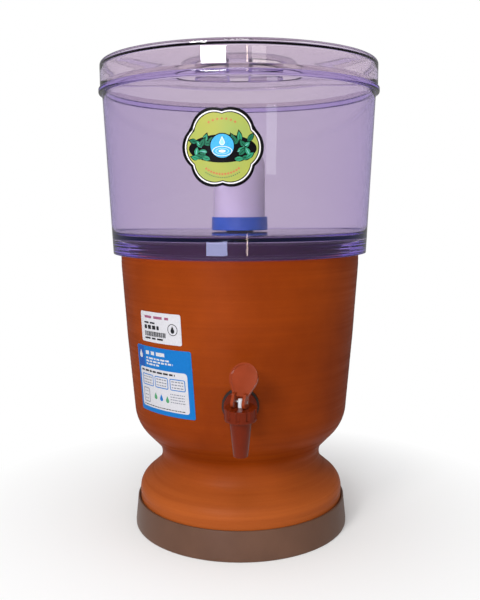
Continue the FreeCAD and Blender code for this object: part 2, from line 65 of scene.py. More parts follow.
# Studio. A pale floor that fades to white, in a room that is white to the eye and dimmer as light
# and in reflections, most of all in front. Two soft lamps stand at the front left and above, and
# dim panels show as reflections in the plastic.
floor_colour = (0.93, 0.925, 0.92)
floor_radius = 5.0
floor_fade_start = 0.10
floor_fade_end = 0.34
room_light = 0.50
mirrored_front = 0.12
mirrored_back = 0.28
mirrored_floor = 0.30
mirror_ways = (-0.35, 0.45)
seen_rays = ("Is Camera Ray", "Is Glossy Ray", "Is Transmission Ray")
aim_height = 0.25


def add(tree, kind, **inputs):
    """A node of this kind, with its inputs set to values or linked to other nodes' outputs."""
    node = tree.nodes.new("ShaderNode" + kind)
    for name, value in inputs.items():
        socket = node.inputs[name.replace("_", " ")]
        if isinstance(value, bpy.types.NodeSocket):
            tree.links.new(value, socket)
        else:
            socket.default_value = value
    return node


def between(tree, value, low, high, to_low=0.0, to_high=1.0):
    """The value's place between low and high, carried over to the range to_low to to_high."""
    node = add(tree, "MapRange", Value=value)
    node.inputs["From Min"].default_value = low
    node.inputs["From Max"].default_value = high
    node.inputs["To Min"].default_value = to_low
    node.inputs["To Max"].default_value = to_high
    return node.outputs["Result"]


def either(tree, *shares):
    """The largest of the shares."""
    total = shares[0]
    for share in shares[1:]:
        node = tree.nodes.new("ShaderNodeMath")
        node.operation = "MAXIMUM"
        tree.links.new(total, node.inputs[0])
        tree.links.new(share, node.inputs[1])
        total = node.outputs[0]
    return total


def choose(tree, share, first, second):
    """One of two numbers, or a mix of them, by a share."""
    node = tree.nodes.new("ShaderNodeMix")
    for index, value in ((0, share), (2, first), (3, second)):
        if isinstance(value, bpy.types.NodeSocket):
            tree.links.new(value, node.inputs[index])
        else:
            node.inputs[index].default_value = value
    return node.outputs[0]


def clear_view(tree, ray):
    """Whether a ray comes from the eye, straight or through the clear plastic."""
    return either(tree, ray.outputs["Is Camera Ray"], ray.outputs["Is Transmission Ray"])


world = bpy.data.worlds.new("room")
world.use_nodes = True
room = world.node_tree
background = room.nodes["Background"]
background.inputs["Color"].default_value = (1.0, 1.0, 1.0, 1.0)
ray = add(room, "LightPath")
ray_way = add(room, "SeparateXYZ", Vector=add(room, "TexCoord").outputs["Generated"])
mirrored = between(room, ray_way.outputs["Y"], *mirror_ways, mirrored_front, mirrored_back)
lit_room = choose(room, ray.outputs["Is Glossy Ray"], room_light, mirrored)
room_glow = choose(room, clear_view(room, ray), lit_room, 1.0)
room.links.new(room_glow, background.inputs["Strength"])
bpy.context.scene.world = world

floor_material = bpy.data.materials.new("pale_floor")
floor_material.use_nodes = True
tree = floor_material.node_tree
tree.nodes.clear()
place = add(tree, "TexCoord").outputs["Object"]
distance = tree.nodes.new("ShaderNodeVectorMath")
distance.operation = "LENGTH"
tree.links.new(place, distance.inputs[0])
far = between(tree, distance.outputs["Value"], floor_fade_start, floor_fade_end)
ray = add(tree, "LightPath")
seen = either(tree, *(ray.outputs[name] for name in seen_rays))
share = tree.nodes.new("ShaderNodeMath")
share.operation = "MULTIPLY"
tree.links.new(far, share.inputs[0])
tree.links.new(seen, share.inputs[1])
lit = add(tree, "BsdfDiffuse", Color=(*floor_colour, 1.0))
glow = choose(tree, clear_view(tree, ray), mirrored_floor, 1.0)
white = add(tree, "Emission", Color=(1.0, 1.0, 1.0, 1.0), Strength=glow)
mixed = add(tree, "MixShader", Fac=share.outputs[0])
tree.links.new(lit.outputs[0], mixed.inputs[1])
tree.links.new(white.outputs[0], mixed.inputs[2])
floor_output = tree.nodes.new("ShaderNodeOutputMaterial")
tree.links.new(mixed.outputs[0], floor_output.inputs["Surface"])

bpy.ops.mesh.primitive_circle_add(vertices=96, radius=floor_radius, fill_type="NGON")
floor = bpy.context.object
floor.name = "studio_floor"
floor.data.materials.append(floor_material)


def panel(name, azimuth, distance, height, width, tall, power, colour=(1.0, 1.0, 1.0)):
    """A flat lamp on a stand, turned to the pot. Azimuth 0 is in front, and positive is right."""
    data = bpy.data.lights.new(name, "AREA")
    data.shape = "RECTANGLE"
    data.size = width
    data.size_y = tall
    data.energy = power
    data.color = colour
    lamp = bpy.data.objects.new(name, data)
    turn = math.radians(azimuth)
    lamp.location = (distance * math.sin(turn), -distance * math.cos(turn), height)
    aim = Vector((0, 0, aim_height)) - lamp.location
    lamp.rotation_euler = aim.to_track_quat("-Z", "Y").to_euler()
    lamp.visible_camera = False
    lamp.visible_transmission = False
    bpy.context.scene.collection.objects.link(lamp)


daylight = (1.0, 0.985, 0.96)
cool = (0.93, 0.97, 1.0)
blue = (0.55, 0.62, 1.0)
pale_warm = (1.0, 0.93, 0.88)
warm = (1.0, 0.80, 0.62)
panel("key", -31, 1.9, 1.30, 0.45, 0.45, 17.0, daylight)
panel("overhead", -2, 1.1, 1.40, 0.40, 0.40, 5.0)
panel("high_pane", -18.7, 1.43, 0.70, 0.47, 0.16, 7.2, cool)
panel("low_pane", -18.7, 1.43, 0.058, 0.44, 0.11, 2.0, blue)
panel("high_strip", 5.9, 1.43, 0.70, 0.028, 0.16, 0.22, warm)
panel("low_strip", 5.9, 1.43, 0.075, 0.028, 0.12, 0.15, warm)
panel("right_pane", 14.5, 1.43, 0.70, 0.26, 0.14, 0.38, pale_warm)
panel("side_pane", 24.6, 1.43, 0.375, 0.20, 0.17, 0.26, cool)


# Clay pot and its foot. One turned terracotta body: a bowl that narrows to a waist, and a hollow
# foot luted on below. The wheel's fine rings stay in the wall, and the skin is rubbed to a satin.
foot_seat = (0.1068, 0.0030)
foot_bend = (0.1092, 0.0438, 0.0175)
waist_bend = (0.0745, 0.0739, 0.0202)
hip_bend = (0.1096, 0.1115, 0.0420)
belly_bend = (0.1169, 0.2000, 0.3000)
neck_bend = (0.1217, 0.2740, 0.0600)
clay_rim = (0.1217, 0.3015, 0.0030)
clay_wall = 0.0095
clay_floor_top = 0.1000
clay_floor_under = 0.0860
hollow_foot = (0.0930, 0.0430, 0.0140)
hollow_waist = (0.0700, 0.0660, 0.0140)
hollow_top = 0.0680
outside_step = 0.0014
inside_step = 0.004
clay_segments = 224
smooth_angle = 34
tap_hole = 0.0085
drill_length = 0.06
ring_pitch = 0.0046
fine_ring_share = 0.37
ring_depth = 0.00022
wobble_depth = 0.00018

clay_light = (0.310, 0.052, 0.004)
clay_middle = (0.222, 0.032, 0.001)
clay_dark = (0.145, 0.018, 0.0005)
# The clay is paler low down: fully on the foot, fading out up through the waist.
foot_pale_clay = (0.385, 0.092, 0.018)
foot_pale_heights = (0.045, 0.088)
# Painted shade: from just below the skirt's lower edge up to the rim, the clay is painted dark
# violet for the shade under the skirt and for its shadow line.
painted_shade_clay = (0.036, 0.015, 0.033)
painted_shade_start = 0.2846
painted_shade_edge = 0.001


def rounded_line(corners, step):
    """Points along straight runs between corners (radius, height, rounding), with arcs for the
    rounded corners and no step longer than the given one."""
    spots = [Vector((c[0], c[1])) for c in corners]
    stretches = [(spots[0], spots[0], None)]
    for i in range(1, len(corners) - 1):
        size = corners[i][2] if len(corners[i]) > 2 else 0
        to_last = (spots[i - 1] - spots[i]).normalized()
        to_next = (spots[i + 1] - spots[i]).normalized()
        if size == 0:
            stretches.append((spots[i], spots[i], None))
            continue
        turn = math.pi - to_last.angle(to_next)
        reach = size * math.tan(turn / 2)
        centre = spots[i] + (to_last + to_next).normalized() * (size / math.cos(turn / 2))
        ends = (spots[i] + to_last * reach, spots[i] + to_next * reach)
        stretches.append((*ends, (centre, turn, size)))
    stretches.append((spots[-1], spots[-1], None))
    line = []
    for i, (first, last, arc) in enumerate(stretches):
        if arc is None:
            line.append(first)
        else:
            centre, turn, size = arc
            count = max(5, math.ceil(turn * size / step))
            from_centre = first - centre
            spin = turn if from_centre.cross(last - centre) > 0 else -turn
            for k in range(count + 1):
                line.append(centre + Matrix.Rotation(spin * k / count, 2) @ from_centre)
        if i + 1 < len(stretches):
            run = stretches[i + 1][0] - last
            count = math.ceil(run.length / step)
            line.extend(last + run * k / count for k in range(1, count))
    tidy = [line[0]]
    for point in line[1:]:
        if (point - tidy[-1]).length > 1e-7:
            tidy.append(point)
    return [(p.x, p.y) for p in tidy]


def smooth(data):
    """Shades a mesh smooth where it is round, and crisp where it turns sharply."""
    data.shade_smooth()
    data.set_sharp_from_angle(angle=math.radians(smooth_angle))


def keep(name, mesh, material, body, slot, *replaced):
    """Makes the piece an object, smooth where it is round, and ties it to its body."""
    mesh.normal_update()
    data = bpy.data.meshes.new(name)
    mesh.to_mesh(data)
    mesh.free()
    smooth(data)
    for one in material if isinstance(material, list) else [material]:
        data.materials.append(one)
    piece = bpy.data.objects.new(name, data)
    bpy.context.scene.collection.objects.link(piece)
    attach(piece, body)
    if replaced:
        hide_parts(*replaced)
    return piece


def turned_mesh(line, segments, change=None):
    """The line, closed on itself or on the axis, turned about Z into a closed mesh."""
    mesh = bmesh.new()
    rings = []
    for radius, height in line:
        if radius < 1e-6:
            rings.append([mesh.verts.new((0, 0, height))])
            continue
        ring = []
        for k in range(segments):
            angle = 2 * math.pi * k / segments
            here = radius + (change(radius, height, angle) if change else 0)
            ring.append(mesh.verts.new((here * math.cos(angle), here * math.sin(angle), height)))
        rings.append(ring)
    pairs = list(zip(rings, rings[1:]))
    if len(rings[0]) > 1 and len(rings[-1]) > 1:
        pairs.append((rings[-1], rings[0]))
    for lower, upper in pairs:
        for k in range(segments):
            corners = [lower[k % len(lower)], lower[(k + 1) % len(lower)],
                       upper[(k + 1) % len(upper)], upper[k % len(upper)]]
            corners = list(dict.fromkeys(corners))
            if len(corners) > 2:
                mesh.faces.new(corners)
    bmesh.ops.recalc_face_normals(mesh, faces=mesh.faces)
    return mesh


def finish(name, colour, roughness):
    """A Principled material, its node tree, its surface node and the piece's own coordinates."""
    made = bpy.data.materials.new(name)
    made.use_nodes = True
    surface = made.node_tree.nodes["Principled BSDF"]
    surface.inputs["Base Color"].default_value = (*colour, 1.0)
    surface.inputs["Roughness"].default_value = roughness
    return made, made.node_tree, surface, add(made.node_tree, "TexCoord").outputs["Object"]


def stretched(tree, place, x, y, z):
    """The coordinates scaled apart along the three axes."""
    node = tree.nodes.new("ShaderNodeVectorMath")
    node.operation = "MULTIPLY"
    node.inputs[1].default_value = (x, y, z)
    tree.links.new(place, node.inputs[0])
    return node.outputs[0]


def grain(tree, place, scale, detail=3.0, roughness=0.55):
    """Cloudy noise, with so many blotches in a metre."""
    node = add(tree, "TexNoise", Vector=place, Scale=scale, Detail=detail, Roughness=roughness)
    return node.outputs["Fac"]


def blend(tree, share, first, second, way="MIX"):
    """Two colours, or a colour and an output, mixed by a share."""
    node = tree.nodes.new("ShaderNodeMix")
    node.data_type = "RGBA"
    node.blend_type = way
    for index, value in ((0, share), (6, first), (7, second)):
        if isinstance(value, bpy.types.NodeSocket):
            tree.links.new(value, node.inputs[index])
        elif index == 0:
            node.inputs[index].default_value = value
        else:
            node.inputs[index].default_value = (*value, 1.0)
    return node.outputs[2]


def rough_up(tree, surface, height, depth, strength=1.0, under=None):
    """Bumps the surface by a height from 0 to 1 that stands for so many metres."""
    node = add(tree, "Bump", Height=height, Strength=strength, Distance=depth)
    if under:
        tree.links.new(under, node.inputs["Normal"])
    tree.links.new(node.outputs["Normal"], surface.inputs["Normal"])
    return node.outputs["Normal"]


outer_wall = rounded_line([
    (*foot_seat, 0.0020),
    (foot_seat[0], foot_bend[1] - foot_bend[2] / 2),
    foot_bend,
    waist_bend,
    hip_bend,
    belly_bend,
    neck_bend,
    clay_rim,
    (clay_rim[0] - clay_wall, clay_rim[1]),
], outside_step)
inner_wall = rounded_line([
    (clay_rim[0] - clay_wall, clay_rim[1]),
    (neck_bend[0] - clay_wall, *neck_bend[1:]),
    (belly_bend[0] - clay_wall, *belly_bend[1:]),
    (hip_bend[0] - clay_wall, clay_floor_top, 0.030),
    (0, clay_floor_top),
], inside_step)
foot_inside = rounded_line([
    (0, clay_floor_under),
    (hollow_top, clay_floor_under, 0.004),
    hollow_waist,
    hollow_foot,
    (hollow_foot[0], foot_seat[1]),
    foot_seat,
], inside_step)


def wheel_marks(radius, height, angle):
    """How far the wall lies inside its true line: spiral rings, uneven in depth, and a wobble."""
    spiral = math.sin(2 * math.pi * height / ring_pitch - angle)
    fine = math.sin(2 * math.pi * height / (ring_pitch * fine_ring_share) - 2 * angle)
    where = Vector((math.cos(angle) * 0.6, math.sin(angle) * 0.6, height * 55))
    unevenness = 0.5 + 0.5 * noise.noise(where)
    drift = noise.noise(Vector((math.cos(angle), math.sin(angle), height * 9)))
    rings = ring_depth * unevenness * (0.6 + 0.3 * spiral + 0.1 * fine)
    return -rings - wobble_depth * (0.5 + 0.5 * drift)


clay_material, tree, surface, place = finish("terracotta", clay_middle, 0.5)
clouds = grain(tree, place, 9.0, 4.0)
streaks = grain(tree, stretched(tree, place, 6.0, 6.0, 320.0), 1.0, 3.0)
specks = grain(tree, place, 1500.0, 2.0)
tone = blend(tree, between(tree, clouds, 0.32, 0.70), clay_dark, clay_light)
tone = blend(tree, 0.55, clay_middle, tone)
clay_height = add(tree, "SeparateXYZ", Vector=place).outputs["Z"]
tone = blend(tree, between(tree, clay_height, *foot_pale_heights, 0.80, 0.0), tone, foot_pale_clay)
tone = blend(tree, between(tree, streaks, 0.30, 0.75, 0.0, 0.30), tone, clay_dark)
tone = blend(tree, between(tree, specks, 0.62, 0.74, 0.0, 0.45), tone, clay_light)
tone = blend(tree, between(tree, specks, 0.36, 0.26, 0.0, 0.50), tone, clay_dark)
# Painted shade and shadow: the clay turns dark from just below the skirt's edge upward.
painted_shade = between(tree, clay_height, painted_shade_start - painted_shade_edge, painted_shade_start + painted_shade_edge)
tone = blend(tree, painted_shade, tone, painted_shade_clay)
tree.links.new(tone, surface.inputs["Base Color"])
tree.links.new(between(tree, streaks, 0.3, 0.7, 0.36, 0.52), surface.inputs["Roughness"])
surface.inputs["Specular IOR Level"].default_value = 0.06
pores = rough_up(tree, surface, specks, 0.00010, 0.6)
rough_up(tree, surface, streaks, 0.00012, 0.8, pores)

clay_line = foot_inside + outer_wall[1:] + inner_wall[1:]
clay_mesh = turned_mesh(clay_line, clay_segments, wheel_marks)
clay = keep("clay_body", clay_mesh, clay_material, "pot", "clay", "clay_pot", "clay_foot")

tap_low, tap_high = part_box("tap_outer_washer")
tap_centre = (tap_low + tap_high) / 2
tap_lean = math.atan((belly_bend[0] - hip_bend[0]) / (belly_bend[1] - hip_bend[1]))
bpy.ops.mesh.primitive_cylinder_add(vertices=64, radius=tap_hole, depth=drill_length,
                                    location=tap_centre,
                                    rotation=(math.pi / 2 + tap_lean, 0, 0))
drill = bpy.context.object
hole = clay.modifiers.new("tap_hole", "BOOLEAN")
hole.object = drill
hole.operation = "DIFFERENCE"
bpy.context.view_layer.objects.active = clay
bpy.ops.object.modifier_apply(modifier=hole.name)
bpy.data.objects.remove(drill)


# Base dish. A moulded dish of taupe plastic that the clay foot stands in, which keeps the
# damp clay off the table. Its rim is a thin edge around the foot.
dish_top = (0.1093, 0.0297)
dish_bottom = (0.1120, 0.0040)
dish_wall = 0.0020
dish_floor = 0.0030
dish_step = 0.003
dish_segments = 192
taupe = (0.112, 0.054, 0.033)


def moulded(name, colour, roughness, blotch=26.0, pebble_size=1300.0, shade=0.12,
            pebble_depth=0.00005, gloss=0.5):
    """Opaque moulded plastic: a faint cloud in its colour and gloss, and a fine skin grain."""
    made, tree, surface, place = finish(name, colour, roughness)
    cloud = grain(tree, place, blotch, 4.0)
    paler = tuple(min(1.0, c * (1 + shade)) for c in colour)
    darker = tuple(c * (1 - shade) for c in colour)
    tone = blend(tree, between(tree, cloud, 0.3, 0.7), darker, paler)
    tree.links.new(tone, surface.inputs["Base Color"])
    tree.links.new(between(tree, cloud, 0.3, 0.7, roughness * 0.85, roughness * 1.15),
                   surface.inputs["Roughness"])
    surface.inputs["Specular IOR Level"].default_value = gloss
    rough_up(tree, surface, grain(tree, place, pebble_size, 2.0), pebble_depth, 0.5)
    return made


dish_line = rounded_line([
    (0, 0),
    (dish_bottom[0], 0, 0.0010),
    (*dish_bottom, 0.0020),
    (*dish_top, 0.0006),
    (dish_top[0] - dish_wall, dish_top[1], 0.0006),
    (dish_bottom[0] - dish_wall, dish_floor, 0.0020),
    (0, dish_floor),
], dish_step)
dish_mesh = turned_mesh(dish_line, dish_segments)
dish_plastic = moulded("taupe_plastic", taupe, 0.42, gloss=0.2)
keep("dish", dish_mesh, dish_plastic, "pot", "base_plastic", "base_dish")


# Printed labels. Two paper labels on the clay's left side: a small white one with rows of dashes
# and stripes, and a blue one with a white panel of little frames. Both carry plain patterns only.
label_gap = 0.0001
label_thickness = 0.0003
label_corner = 0.0018
film_share = 0.70
tile = 0.0020
price_turn = -39.7
price_height = 0.2203
price_size = (0.0520, 0.0292)
info_turn = -40.4
info_height = 0.1683
info_size = (0.0715, 0.0654)


def clay_outside(height):
    """The clay wall's outer radius at a height."""
    for (first, low), (second, high) in zip(outer_wall, outer_wall[1:]):
        if low <= height < high:
            return first + (second - first) * (height - low) / (high - low)


def on_wall(outside, turn, height):
    """A function that lays a spot of a flat film on a turned wall. The wall is taken as small flat
    tiles, so that every coat of the film lies level with the one below."""
    spin = Matrix.Rotation(math.radians(turn), 3, "Z")

    def bent(across, up, lift):
        radius = outside(height + up) + lift
        return spin @ Vector((across, -math.sqrt(radius ** 2 - across ** 2), height + up))

    def spot(across, up, lift):
        column, row = math.floor(across / tile), math.floor(up / tile)
        edges = []
        for level in (row * tile, (row + 1) * tile):
            left = bent(column * tile, level, lift)
            right = bent((column + 1) * tile, level, lift)
            edges.append(left.lerp(right, across / tile - column))
        return edges[0].lerp(edges[1], up / tile - row)

    return spot


def printed_film(name, layers, inks, body, slot, node, spot):
    """A film of closed layers (outline, ink): the first is the film, and each next one is a coat of
    ink that stands a hair above the one before."""
    mesh = bmesh.new()
    film_top = label_gap + film_share * label_thickness
    for count, (outline, number) in enumerate(layers):
        low = label_gap if count == 0 else film_top - 0.1 * label_thickness
        high = film_top + (1 - film_share) * label_thickness * count / len(layers)
        sheet = bmesh.new()
        sheet.faces.new([sheet.verts.new((x, 0, z)) for x, z in outline])
        bmesh.ops.triangulate(sheet, faces=sheet.faces[:])
        for axis in (0, 2):
            spread = [vert.co[axis] for vert in sheet.verts]
            for k in range(math.ceil(min(spread) / tile), math.floor(max(spread) / tile) + 1):
                across = Vector([float(i == axis) for i in range(3)])
                parts = sheet.verts[:] + sheet.edges[:] + sheet.faces[:]
                cut = across * k * tile
                bmesh.ops.bisect_plane(sheet, geom=parts, plane_co=cut, plane_no=across)
        raised = bmesh.ops.extrude_face_region(sheet, geom=sheet.faces[:])
        upper = {item for item in raised["geom"] if isinstance(item, bmesh.types.BMVert)}
        for vert in sheet.verts:
            vert.co = spot(vert.co.x, vert.co.z, high if vert in upper else low)
        bmesh.ops.recalc_face_normals(sheet, faces=sheet.faces)
        for face in sheet.faces:
            face.material_index = number
        layer = bpy.data.meshes.new("layer")
        sheet.to_mesh(layer)
        sheet.free()
        mesh.from_mesh(layer)
        bpy.data.meshes.remove(layer)
    return keep(name, mesh, inks, body, slot, node)


def ink(name, colour, roughness=0.34):
    """Printed ink: its colour is a little uneven, as dots on paper are."""
    return moulded(name, colour, roughness, 700.0, 2600.0, 0.07, 0.00001, 0.25)


def box_line(left, bottom, right, top, corner=0.0):
    """The outline of a box with rounded corners."""
    outline = []
    corners = ((right, bottom, -90), (right, top, 0), (left, top, 90), (left, bottom, 180))
    for x, z, start in corners:
        turns = (0, 30, 60, 90) if corner else (45,)
        for turn in turns:
            spin = math.radians(start + turn)
            outline.append((x + corner * (math.cos(spin) - (1 if x == right else -1)),
                            z + corner * (math.sin(spin) - (1 if z == top else -1))))
    return outline


def round_line(centre_x, centre_z, across, tall, count=28):
    """The outline of an oval."""
    return [(centre_x + across * math.cos(2 * math.pi * k / count),
             centre_z + tall * math.sin(2 * math.pi * k / count)) for k in range(count)]


def drop_line(centre_x, centre_z, size):
    """The outline of a drop of water whose round part has this radius."""
    outline = [(centre_x, centre_z + 2.3 * size)]
    for k in range(19):
        spin = math.radians(153 + 234 * k / 18)
        outline.append((centre_x + size * math.cos(spin), centre_z + size * math.sin(spin)))
    return outline


def share_box(size, left, top, right, bottom, corner=0.0):
    """A box given by shares of the film's size, from its left and top edges."""
    return box_line((left - 0.5) * size[0], (0.5 - bottom) * size[1],
                    (right - 0.5) * size[0], (0.5 - top) * size[1], corner)


def whole(size):
    """The outline of a whole label."""
    return box_line(-size[0] / 2, -size[1] / 2, size[0] / 2, size[1] / 2, label_corner)


def dashes(size, left, right, level, tall, draw):
    """A row of dashes of uneven lengths, given by shares of the film's size."""
    row = []
    at = left
    while at < right:
        end = min(right, at + draw.uniform(1.2, 3.6) * tall)
        row.append(share_box(size, at, level - tall / 2, end, level + tall / 2))
        at = end + 0.7 * tall
    return row


white_ink = ink("label_white_film", (0.50, 0.49, 0.51), 0.40)
blue_ink = ink("label_blue_ink", (0.000, 0.130, 0.400))
deep_ink = ink("label_deep_blue_ink", (0.006, 0.070, 0.310))
black_ink = ink("label_black_ink", (0.012, 0.012, 0.014))
grey_ink = ink("label_grey_ink", (0.165, 0.175, 0.200))
plum_ink = ink("label_plum_ink", (0.260, 0.075, 0.135))
green_ink = ink("label_green_ink", (0.060, 0.260, 0.110))

draw = random.Random(11)
price_layers = [(whole(price_size), 0)]
price_rows = ((0.12, 0.74, 0.17, 0.085, 2), (0.10, 0.42, 0.36, 0.055, 1),
              (0.10, 0.60, 0.87, 0.060, 1))
for left, right, level, tall, number in price_rows:
    price_layers += [(line, number) for line in dashes(price_size, left, right, level, tall, draw)]
for left, right in ((0.10, 0.17), (0.20, 0.29), (0.32, 0.41), (0.44, 0.50)):
    price_layers.append((share_box(price_size, left, 0.44, right, 0.57, 0.0004), 1))
at = 0.10
while at < 0.66:
    width = draw.choice((0.007, 0.012, 0.018))
    price_layers.append((share_box(price_size, at, 0.64, at + width, 0.80), 1))
    at += width + draw.choice((0.007, 0.011))
round_spot = (0.0166, -0.0002)
price_layers += [(round_line(*round_spot, 0.0056, 0.0056), 1),
                 (round_line(*round_spot, 0.0049, 0.0049), 0),
                 (drop_line(round_spot[0], round_spot[1] - 0.0012, 0.0022), 1)]
printed_film("white_label", price_layers, [white_ink, black_ink, plum_ink], "pot", "label_white",
             "price_sticker", on_wall(clay_outside, price_turn, price_height))

info_inks = [blue_ink, white_ink, deep_ink, black_ink, grey_ink, green_ink]
info_layers = [(whole(info_size), 0), (share_box(info_size, 0.012, 0.012, 0.165, 0.320), 2)]
info_layers.append((drop_line(-0.0294, 0.0225, 0.0026), 1))
heading_rows = ((0.21, 0.62, 0.095, 0.055), (0.21, 0.66, 0.175, 0.026),
                (0.21, 0.72, 0.220, 0.026), (0.21, 0.48, 0.265, 0.026))
for left, right, level, tall in heading_rows:
    info_layers += [(line, 1) for line in dashes(info_size, left, right, level, tall, draw)]
info_layers.append((share_box(info_size, 0.045, 0.325, 0.925, 0.930, 0.0030), 1))
info_layers += [(line, 3) for line in dashes(info_size, 0.08, 0.74, 0.372, 0.028, draw)]
info_layers += [(line, 3) for line in dashes(info_size, 0.08, 0.86, 0.900, 0.014, draw)]
info_frames = ((0.085, 0.425, 0.335, 0.600, 0), (0.365, 0.425, 0.615, 0.600, 0),
               (0.645, 0.425, 0.890, 0.600, 0), (0.085, 0.640, 0.230, 0.860, 4))
for left, top, right, bottom, number in info_frames:
    inner = (left + 0.013, top + 0.014, right - 0.013, bottom - 0.014)
    info_layers.append((share_box(info_size, left, top, right, bottom, 0.0016), number))
    info_layers.append((share_box(info_size, *inner, 0.0008), 1))
    for step in (0.25, 0.5, 0.75):
        level = top + step * (bottom - top)
        row = dashes(info_size, left + 0.03, right - 0.03, level, 0.016, draw)
        info_layers += [(line, 4) for line in row]
for k, number in enumerate((5, 0, 5)):
    info_layers.append((drop_line(-0.0100 + 0.0080 * k, -0.0165 - 0.0006 * k, 0.0021), number))
for level in (0.660, 0.700, 0.740, 0.780):
    info_layers += [(line, 4) for line in dashes(info_size, 0.64, 0.87, level, 0.013, draw)]
printed_film("blue_label", info_layers, info_inks, "pot", "label_blue", "info_label",
             on_wall(clay_outside, info_turn, info_height))


# Tap. A moulded brown tap: its tail passes through the clay between two rubber washers and takes a
# nut inside, and a fluted cap holds the silicone valve cup and the white stem of the lever.
tap_brown = (0.118, 0.012, 0.002)
lever_brown = (0.215, 0.030, 0.007)
rubber_black = (0.018, 0.014, 0.013)
soft_white = (0.62, 0.63, 0.66)
steel_grey = (0.62, 0.62, 0.63)
moulded_edge = 0.00035
lever_edge = 0.00060


def dress(material, *names):
    """Gives pieces that keep their first shape a finish."""
    for name in names:
        piece = nodes[name]
        if not piece.material_slots:
            piece.data.materials.append(material)
        for slot in piece.material_slots:
            slot.material = material


def soften(width, *names):
    """Rounds the crisp edges of pieces, as a mould does."""
    for name in names:
        joined = nodes[name].modifiers.new("joined_faces", "WELD")
        joined.merge_threshold = 0.00001
        rounded = nodes[name].modifiers.new("moulded_edges", "BEVEL")
        rounded.width = width
        rounded.segments = 3
        rounded.limit_method = "ANGLE"
        rounded.angle_limit = math.radians(35)
        level = nodes[name].modifiers.new("level_faces", "WEIGHTED_NORMAL")
        level.weight = 80


tap_plastic = moulded("tap_brown_plastic", tap_brown, 0.14, 60.0, 2400.0, 0.10, 0.00002, 0.28)
dress(tap_plastic, "tap_body", "tap_cap", "tap_nut")
lever_plastic = moulded("lever_brown_plastic", lever_brown, 0.08, 90.0, 2400.0, 0.08, 0.00001)
dress(lever_plastic, "tap_lever")
tap_rubber = moulded("washer_rubber", rubber_black, 0.60, 80.0, 1800.0, 0.20)
dress(tap_rubber, "tap_outer_washer", "tap_inner_washer")
dress(moulded("silicone", soft_white, 0.38, 50.0, 1500.0, 0.04), "tap_seat_cup")
dress(moulded("white_stem_plastic", soft_white, 0.30, 60.0, 2400.0, 0.05, 0.00002), "tap_stem")
steel, tree, surface, place = finish("pin_steel", steel_grey, 0.28)
surface.inputs["Metallic"].default_value = 1.0
scratch = grain(tree, stretched(tree, place, 300.0, 4000.0, 4000.0), 1.0, 2.0)
tree.links.new(between(tree, scratch, 0.3, 0.7, 0.20, 0.40), surface.inputs["Roughness"])
dress(steel, "tap_pin")
soften(moulded_edge, "tap_cap", "tap_nut", "tap_body", "tap_stem")
soften(lever_edge, "tap_lever")


# Upper chamber. Clear violet plastic, moulded in one: a cone with a flat floor, a skirt with fine
# inner ribs that laps over the clay rim, and a flange whose low upstand the lid fits over.
skirt_bottom = 0.2855
skirt_ribs = 5
rib_pitch = 0.0027
rib_depth = 0.0006
skirt_radius = 0.1291
chamber_top_radius = 0.1364
chamber_wall = 0.0028
chamber_floor = 0.0030
flange_top = 0.4472
flange_thickness = 0.0052
flange_radius = 0.1400
upstand = 0.0048
upstand_wall = 0.0016
stem_hole = 0.0063
clear_step = 0.006
clear_segments = 256
floor_under = clay_rim[1]
floor_top = floor_under + chamber_floor
flange_under = flange_top - flange_thickness
violet_skin = (0.859, 0.828, 0.774)
violet_tint = (0.250, 0.020, 0.860)
violet_depth = 100.0


def clear_plastic(name, skin, tint, wave_strength):
    """Clear violet plastic: tinted at its skin and in its thickness, with a faint mould wave."""
    made, tree, surface, place = finish(name, skin, 0.03)
    surface.inputs["Transmission Weight"].default_value = 1.0
    surface.inputs["IOR"].default_value = 1.49
    wave = grain(tree, place, 24.0, 1.0)
    rub = grain(tree, place, 60.0, 3.0)
    tree.links.new(between(tree, rub, 0.35, 0.75, 0.012, 0.05), surface.inputs["Roughness"])
    rough_up(tree, surface, wave, 0.0003, wave_strength)
    output = tree.nodes["Material Output"]
    clear = add(tree, "BsdfTransparent", Color=(0.94, 0.92, 0.95, 1.0))
    path = add(tree, "LightPath")
    choice = add(tree, "MixShader", Fac=path.outputs["Is Shadow Ray"])
    tree.links.new(surface.outputs[0], choice.inputs[1])
    tree.links.new(clear.outputs[0], choice.inputs[2])
    tree.links.new(choice.outputs[0], output.inputs["Surface"])
    inside = add(tree, "VolumeAbsorption", Color=(*tint, 1.0), Density=violet_depth)
    tree.links.new(inside.outputs[0], output.inputs["Volume"])
    return made


def chamber_outside(height):
    """The chamber wall's outer radius at a height."""
    share = (height - skirt_bottom) / (flange_under - skirt_bottom)
    return skirt_radius + share * (chamber_top_radius - skirt_radius)


upstand_radius = chamber_top_radius - chamber_wall + upstand_wall
chamber_inside = chamber_top_radius - chamber_wall
skirt_inside = []
for rib in range(skirt_ribs, 0, -1):
    for share, depth in ((0.0, 0.0), (-0.5, rib_depth)):
        height = skirt_bottom + (rib + share) * rib_pitch
        skirt_inside.append((chamber_outside(height) - chamber_wall - depth, height))
chamber_line = rounded_line([
    (skirt_radius - chamber_wall / 2, skirt_bottom),
    (skirt_radius, skirt_bottom, 0.0006),
    (chamber_top_radius, flange_under, 0.0010),
    (flange_radius, flange_under, 0.0015),
    (flange_radius, flange_top, 0.0010),
    (upstand_radius, flange_top, 0.0004),
    (upstand_radius, flange_top + upstand, 0.0006),
    (chamber_inside, flange_top + upstand, 0.0006),
    (chamber_inside, flange_under),
    (chamber_outside(floor_top) - chamber_wall, floor_top, 0.0040),
    (stem_hole, floor_top),
    (stem_hole, floor_under),
    (chamber_outside(floor_under) - chamber_wall, floor_under, 0.0010),
    *skirt_inside,
    (skirt_radius - chamber_wall, skirt_bottom, 0.0006),
    (skirt_radius - chamber_wall / 2, skirt_bottom),
], clear_step)[:-1]
